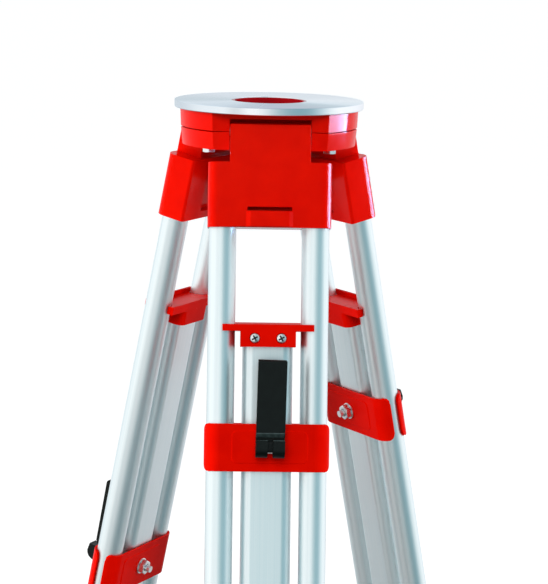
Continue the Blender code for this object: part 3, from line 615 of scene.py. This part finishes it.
def clamp_strap(name, side):
    """A clamp plate of pressed sheet: its ends curl round the tubes, its corners are rounded off,
    and a raised panel stiffens its middle. side is -1 for the outer plate."""
    half_height, corner = CLAMP_HALF_HEIGHT, CLAMP_CORNER
    near, far = TUBE_RADIUS + 0.3 * MM, TUBE_RADIUS + 0.3 * MM + CLAMP_SHEET
    reach, stop = TUBE_SPACING / 2, 16
    outside = arc((reach, 0), far, stop, 90, 18) + arc((-reach, 0), far, 90, 180 - stop, 18)
    inside = arc((-reach, 0), near, 180 - stop, 90, 18) + arc((reach, 0), near, 90, stop, 18)
    strap = traced(name, [(x, side * y) for x, y in outside + inside], -half_height, half_height)
    for step in range(6):
        along = step * far * math.radians(90 - stop) / 18
        drop = corner - math.sqrt(max(0, corner ** 2 - max(0, corner - along) ** 2))
        angle = math.radians(stop + (90 - stop) * step / 18)

        def in_column(place, angle=angle):
            turned = math.atan2(side * place.y, abs(place.x) - reach)
            return abs(turned - angle) < 0.01

        choose(strap, in_column)
        bpy.ops.transform.resize(value=(1, 1, 1 - drop / half_height), center_override=(0, 0, 0))
        close_edit()
    soften(strap, 0.5 * MM, 2, 40)
    panel_half, panel_low, panel_high, panel_corner = 0.0306, -0.0125, 0.0135, 0.0045
    outline = [(x + BOLT_OFFSET, z) for x, z in
               arc((panel_half - panel_corner, panel_low + panel_corner), panel_corner, -90, 0, 6)
               + arc((panel_half - panel_corner, panel_high - panel_corner), panel_corner, 0, 90, 6)
               + arc((panel_corner - panel_half, panel_high - panel_corner), panel_corner, 90, 180, 6)
               + arc((panel_corner - panel_half, panel_low + panel_corner), panel_corner, 180, 270, 6)]
    panel = traced("panel", outline, side * (far - 0.8 * MM), side * (far + 0.5 * MM), "XZ")
    soften(panel, 0.45 * MM, 3)
    carve(strap, panel, "UNION")
    hole = traced("hole", [(x + BOLT_OFFSET, z) for x, z in arc((0, 0), BOLT_HOLE, 0, 360, 24)[:-1]],
                  side * 0.005, side * 0.02, "XZ")
    carve(strap, hole)
    return strap


def clamp_place(leg):
    return Matrix.Translation((0, 0, -CLAMP_CENTRE[leg]))


def build_clamps():
    for side, name, node in ((-1, "outer_strap", "clamp_outer_plate"),
                             (1, "inner_strap", "clamp_inner_plate")):
        for_each_leg(lambda label, side=side: clamp_strap(label, side), name, SATIN_RED, "extension",
                     (node,), clamp_place)
    for_each_leg(clamp_nut, "washer_and_nut", ZINC, "extension", ("clamp_nut",), clamp_place)


def hexagon_head(name, half_flats, low, high, across):
    """A hexagon with its corners turned off at both ends, as on a forged nut or bolt."""
    third = 3 - sum("XYZ".index(letter) for letter in across)
    corner = half_flats / math.cos(math.pi / 6)
    head = traced(name, arc((0, 0), corner, 30, 390, 6)[:-1], low, high, across)
    fall = corner - half_flats
    turned = lathed("turning", [(half_flats * 0.96, low), (corner * 1.02, low + fall * 0.7),
                                (corner * 1.02, high - fall * 0.7), (half_flats * 0.96, high)], 48)
    if third == 1:
        turned.data.transform(ALONG_Y)
    carve(head, turned, "INTERSECT")
    return head


def clamp_nut(name):
    """A washer and a hexagon nut, bored through for the bolt."""
    washer_face, nut_face, nut_end = 0.0140, 0.0153, 0.0202
    half_flats, bore_radius, washer_radius, edge = 0.0058, 0.0030, 0.0072, 0.2 * MM
    nut = hexagon_head(name, half_flats, nut_face, nut_end, "XZ")
    bore = lathed("bore", [(bore_radius + 0.6 * MM, nut_end + 1 * MM), (bore_radius + 0.6 * MM, nut_end),
                           (bore_radius, nut_end - 0.9 * MM), (bore_radius, nut_face - 1 * MM)], 32)
    bore.data.transform(ALONG_Y)
    carve(nut, bore)
    washer = lathed("washer", [(washer_radius - edge, washer_face), (washer_radius, washer_face + edge),
                               (washer_radius, nut_face - edge), (washer_radius - edge, nut_face),
                               (bore_radius + 0.3 * MM, nut_face),
                               (bore_radius + 0.3 * MM, washer_face)], 48, ring=True)
    washer.data.transform(ALONG_Y)
    pick(nut)
    washer.select_set(True)
    bpy.ops.object.join()
    nut.data.transform(Matrix.Translation((BOLT_OFFSET, 0, 0)))
    return nut


def guide_screw(name):
    """A pan-head screw with a cross recess."""
    radius, rise, lip = GUIDE_SCREW_RADIUS, GUIDE_SCREW_HEAD, 0.8 * MM
    profile = [(radius * 0.97, 0), (radius, 0.3 * MM)]
    for degrees in (8, 22, 38, 54, 70, 84):
        angle = math.radians(degrees)
        profile.append((radius * math.cos(angle), lip + (rise - lip) * math.sin(angle)))
    screw = lathed(name, profile, 40)
    carve(screw, cross(rise - RECESS_DEPTH, rise + 1 * MM, RECESS_REACH, RECESS_HALF_WIDTH))
    screw.data.transform(FACING_OUT)
    return screw


def cross(low, high, reach, half_width):
    """An upright cross, as a driver's tip is."""
    arms = []
    for turn in (28, 118):
        arm = traced("arm", [(-reach, -half_width), (reach, -half_width), (reach, half_width),
                             (-reach, half_width)], low, high)
        arm.data.transform(Matrix.Rotation(math.radians(turn), 4, "Z"))
        arms.append(arm)
    carve(arms[0], arms[1], "UNION")
    return arms[0]


def screw_recess(name):
    """A dark piece at the bottom of a screw's cross recess: painted shade in the recess."""
    play, floor = 0.1 * MM, GUIDE_SCREW_HEAD - RECESS_DEPTH
    recess = cross(floor + play, floor + 0.8 * MM, RECESS_REACH - play, RECESS_HALF_WIDTH - play)
    soften(recess, 0.08 * MM, 1)
    recess.name = recess.data.name = name
    recess.data.transform(FACING_OUT)
    return recess


def build_guide_screws():
    for number, side in ((1, -1), (2, 1)):
        spot = Matrix.Translation((side * GUIDE_SCREW_SPACING / 2, 0, -GUIDE_SCREW_DEPTH))
        # Each screw's recess gets a dark zinc cross standing for the shade in it: painted shade.
        for make, name, finish in ((guide_screw, "guide_screw", ZINC),
                                   (screw_recess, "guide_screw_recess", RECESS_SHADE_ZINC)):
            for_each_leg(make, f"{name}_{number}", finish, "extension", (),
                         lambda leg, spot=spot: spot)


def build_legs():
    for number, side in ((1, -1), (2, 1)):
        for_each_leg(drawn_tube, f"round_tube_{number}", ANODISED, "leg", (f"tube_{number}",),
                     lambda leg, side=side: Matrix.Translation((side * TUBE_SPACING / 2, 0, 0)))
    for_each_leg(sliding_bar, "sliding_bar", ANODISED, "extension", ("extension",))
    for leg in LEGS:
        piece = softened_solid(f"{leg}_foot_point", f"{leg}_spike", 0.0006)
        settle(piece, Matrix.Identity(4), STEEL, f"{leg}_extension", f"{leg}_foot_point")
        for node, name, width, body in (("socket", "twin_socket", 0.0009, "leg"),
                                        ("tie_bracket", "lower_bracket", 0.0012, "leg"),
                                        ("guide_cap", "bar_guide", 0.0004, "extension"),
                                        ("foot", "foot_casting", 0.0012, "extension")):
            piece = softened_solid(f"{leg}_{node}", f"{leg}_{name}", width)
            settle(piece, Matrix.Identity(4), RED if node == "socket" else SATIN_RED,
                   f"{leg}_{body}", f"{leg}_{node}")
        piece = softened_solid(f"{leg}_cam_lever", f"{leg}_clamp_lever", 0.0012,
                               reshape=lambda lever, leg=leg: round_handle(lever, leg))
        settle(piece, Matrix.Identity(4), BLACK, f"{leg}_cam_lever", f"{leg}_cam_lever")
    # The band and the beads take a paler nylon: painted highlight.
    for make, name, finish in ((lever_web, "lever_web", BLACK), (lever_band, "lever_band", PAINTED_HIGHLIGHT_NYLON),
                               (lever_brow, "lever_brow", PAINTED_HIGHLIGHT_NYLON)):
        for_each_leg(make, name, finish, "cam_lever", (), lever_place)


def lever_place(leg):
    """Where a lever's pin is, in its leg's frame."""
    return Matrix.Translation((BOLT_OFFSET, -LEVER_PIN_OUT, -CLAMP_CENTRE[leg]))


def round_handle(lever, leg):
    """Rounds off the two corners at a lever's free end. The tool is wider lower down, so that it
    cuts nothing else."""
    place, corner, reach = LEG[leg] @ lever_place(leg), LEVER_CORNER, 0.05
    inverse = place.inverted()
    spots = [inverse @ vertex.co for vertex in lever.data.vertices]
    top, side = max(spot.z for spot in spots), max(abs(spot.x) for spot in spots)
    outline = ([(-side - corner / 10, -reach), (side + corner / 10, -reach)]
               + arc((side - corner, top - corner), corner, 0, 90, 6)
               + arc((corner - side, top - corner), corner, 90, 180, 6))
    tool = traced("rounding", outline, -reach, reach, "XZ")
    tool.data.transform(place)
    carve(lever, tool, "INTERSECT")


def lever_band(name):
    """The band across the foot of a lever's handle, with a bead along its lower edge, painted paler as a painted
    highlight.
    """
    band = traced(name, [(-0.0010, 0.0092), (-0.0019, 0.0086), (-0.0027, 0.0092), (-0.0046, 0.0119),
                         (-0.0043, 0.0126), (-0.0030, 0.0122)], -LEVER_HALF_WIDTH, LEVER_HALF_WIDTH, "YZ")
    soften(band, 0.25 * MM, 2)
    return band


def lever_brow(name):
    """The bead along the top of a lever's two cams, broken by the slot between them, painted paler as a painted
    highlight.
    """
    brow = traced(name, arc((-0.0096, 0.0064), 0.00045, 0, 360, 10)[:-1],
                  -LEVER_HALF_WIDTH, LEVER_HALF_WIDTH, "YZ")
    gap = traced("gap", [(-LEVER_SLOT_HALF, 0.0), (LEVER_SLOT_HALF, 0.0),
                         (LEVER_SLOT_HALF, 0.01), (-LEVER_SLOT_HALF, 0.01)], -0.02, 0.0, "XZ")
    carve(brow, gap)
    soften(brow, 0.1 * MM, 1)
    return brow


def lever_web(name):
    """The web that joins a lever's two cams, round the eye of the clamp's bolt."""
    web = traced(name, [(0.0030, 0.0086), (-0.0003, 0.0086), (-0.0003, 0.0062), (-0.0038, 0.0062)]
                 + arc((0, 0), 0.0072, 125, 205, 10)
                 + arc((0, 0), 0.0048, 205, 60, 20), -0.00215, 0.00215, "YZ")
    soften(web, 0.2 * MM, 2)
    return web


def finish_plain_nodes():
    """The small solids whose shape is already right only take their finish."""
    finishes = {"zinc_plated_steel": ZINC, "bright_steel": STEEL, "black_plastic": BLACK,
                "red_paint": RED, "machined_aluminium": PLATE, "anodised_aluminium": ANODISED["front"]}
    for entry in frame["record"]["subparts"]:
        node = frame["nodes"][entry["node"]]
        node.data.materials.clear()
        node.data.materials.append(finishes[entry["material_slot"]])
        shade(node)


# ---- Studio ----------------------------------------------------------------------------------
def build_floor():
    deselect()
    bpy.ops.mesh.primitive_plane_add(size=120, location=(0, 0, 0))
    floor = bpy.context.active_object
    floor.name = "studio_floor"
    floor.visible_glossy = False
    floor.visible_diffuse = False
    material, tree, shader = new_finish("pale_paper_floor", "#F4F4F4", 0.9, Specular_IOR_Level=0.0,
                                        Emission_Color=colour("#FFFFFF"), Emission_Strength=0.35)
    raise_surface(tree, shader, cloudy(tree, place_of(tree), 3 * MM), 0.05 * MM, 0.1)
    floor.data.materials.append(material)


def build_surroundings():
    """Pale studio walls: darker in a band to the right of the viewer, brighter overhead. Each shade's
    place is a turn in degrees from the wall behind the viewer, towards their right."""
    world = bpy.data.worlds.new("pale_studio")
    bpy.context.scene.world = world
    world.use_nodes = True
    tree = world.node_tree
    direction = add_node(tree, "ShaderNodeSeparateXYZ", {
        "Vector": add_node(tree, "ShaderNodeTexCoord").outputs["Generated"]})
    x, y, z = (direction.outputs[axis] for axis in "XYZ")
    towards = add_node(tree, "ShaderNodeMath", {0: y, 1: -1.0}, operation="MULTIPLY").outputs[0]
    turn = add_node(tree, "ShaderNodeMath", {0: x, 1: towards}, operation="ARCTAN2").outputs[0]
    share = add_node(tree, "ShaderNodeMapRange", {"Value": turn, "From Min": -math.pi,
                                                  "From Max": math.pi}).outputs["Result"]
    walls = ((-180, "#D6DCE1"), (-125, "#E6EAED"), (-95, "#FFFFFF"), (-56, "#FFFFFF"),
             (-42, "#C9CFD2"), (-27, "#FFFFFF"), (-10, "#F4F6F6"), (2, "#C3D1D4"), (15, "#97B4BA"),
             (34, "#76A0A9"), (52, "#86AAB4"), (68, "#C8DAE0"), (86, "#FDFFFF"), (130, "#F4F4F8"),
             (180, "#D6DCE1"))
    round_the_room = shades(tree, share, *(((degrees + 180) / 360, code) for degrees, code in walls))
    overhead = add_node(tree, "ShaderNodeMapRange", {
        "Value": z, "From Min": -0.75, "From Max": -0.15, "To Min": 0.20, "To Max": 1.20},
        interpolation_type="SMOOTHSTEP").outputs["Result"]
    light_path = add_node(tree, "ShaderNodeLightPath")
    seen = light_path.outputs["Is Camera Ray"]
    dimmed = add_node(tree, "ShaderNodeMapRange", {"Value": light_path.outputs["Is Diffuse Ray"],
                                                   "To Min": 1.0, "To Max": 0.55}).outputs["Result"]
    strength = add_node(tree, "ShaderNodeMath", {0: overhead, 1: dimmed},
                        operation="MULTIPLY").outputs[0]
    lit = add_node(tree, "ShaderNodeBackground", {"Color": round_the_room, "Strength": strength})
    plain = add_node(tree, "ShaderNodeBackground", {"Color": (1, 1, 1, 1), "Strength": 1.0})
    mixed = add_node(tree, "ShaderNodeMixShader", {0: seen, 1: lit.outputs[0], 2: plain.outputs[0]})
    out = next(node for node in tree.nodes if node.type == "OUTPUT_WORLD")
    tree.links.new(mixed.outputs[0], out.inputs["Surface"])


def add_lamp(name, kind, place, aim, power, tint, **settings):
    """A studio lamp that gives light but is not itself mirrored in the part."""
    light = bpy.data.lights.new(name, kind)
    light.energy = power
    light.color = colour(tint)[:3]
    for key, value in settings.items():
        setattr(light, key, value)
    lamp = bpy.data.objects.new(name, light)
    bpy.context.collection.objects.link(lamp)
    lamp.location = place
    lamp.rotation_euler = (Vector(aim) - Vector(place)).to_track_quat("-Z", "Y").to_euler()
    lamp.visible_camera = False
    lamp.visible_glossy = False
    return lamp


def build_lights():
    aim = HEAD.translation - Vector((0, 0, 0.3))
    add_lamp("sun_through_silk", "SUN", aim + Vector((-0.25, -2.4, 1.3)), aim, 1.32, "#FFFCF8",
             angle=math.radians(28))
    add_lamp("left_soft_box", "AREA", aim + Vector((-2.45, -0.2, 0.3)), aim, 56, "#FFF0E0",
             shape="RECTANGLE", size=1.3, size_y=1.8)
    add_lamp("right_soft_box", "AREA", aim + Vector((2.35, -0.2, 0.4)), aim, 44, "#F8F6FF",
             shape="RECTANGLE", size=1.0, size_y=1.8)
    card = add_lamp("highlight_card", "AREA", aim + Vector((2.35, 0.25, 0.52)), aim, 780, "#8CC4FF",
                    shape="RECTANGLE", size=2.0, size_y=1.45)
    card.visible_glossy = True
    card.visible_diffuse = False
    card.light_linking.receiver_collection = ENAMELLED


def build_camera():
    """A long lens a little left of the head's axis, looking down at the upper half of the legs."""
    camera = bpy.data.cameras.new("viewer")
    camera.lens = 138.1
    camera.sensor_width = 36
    viewer = bpy.data.objects.new("viewer", camera)
    bpy.context.collection.objects.link(viewer)
    yaw, pitch, roll = (math.radians(angle) for angle in (1.8527, 9.8793, 1.0955))
    forward = Vector((math.sin(yaw) * math.cos(pitch), math.cos(yaw) * math.cos(pitch),
                      -math.sin(pitch)))
    right = forward.cross(Vector((0, 0, 1))).normalized()
    up = right.cross(forward)
    right, up = (right * math.cos(roll) + up * math.sin(roll),
                 up * math.cos(roll) - right * math.sin(roll))
    place = Matrix((right, up, -forward)).transposed().to_4x4()
    place.translation = HEAD.translation + Vector((-0.0534, -1.8701, 0.1631))
    viewer.matrix_world = place
    bpy.context.scene.camera = viewer


bpy.context.scene.view_settings.view_transform = "Standard"
bpy.context.scene.collection.children.link(ENAMELLED)
build_camera()
build_floor()
build_surroundings()
build_lights()
finish_plain_nodes()
build_head()
build_legs()
build_clamps()
build_guide_screws()
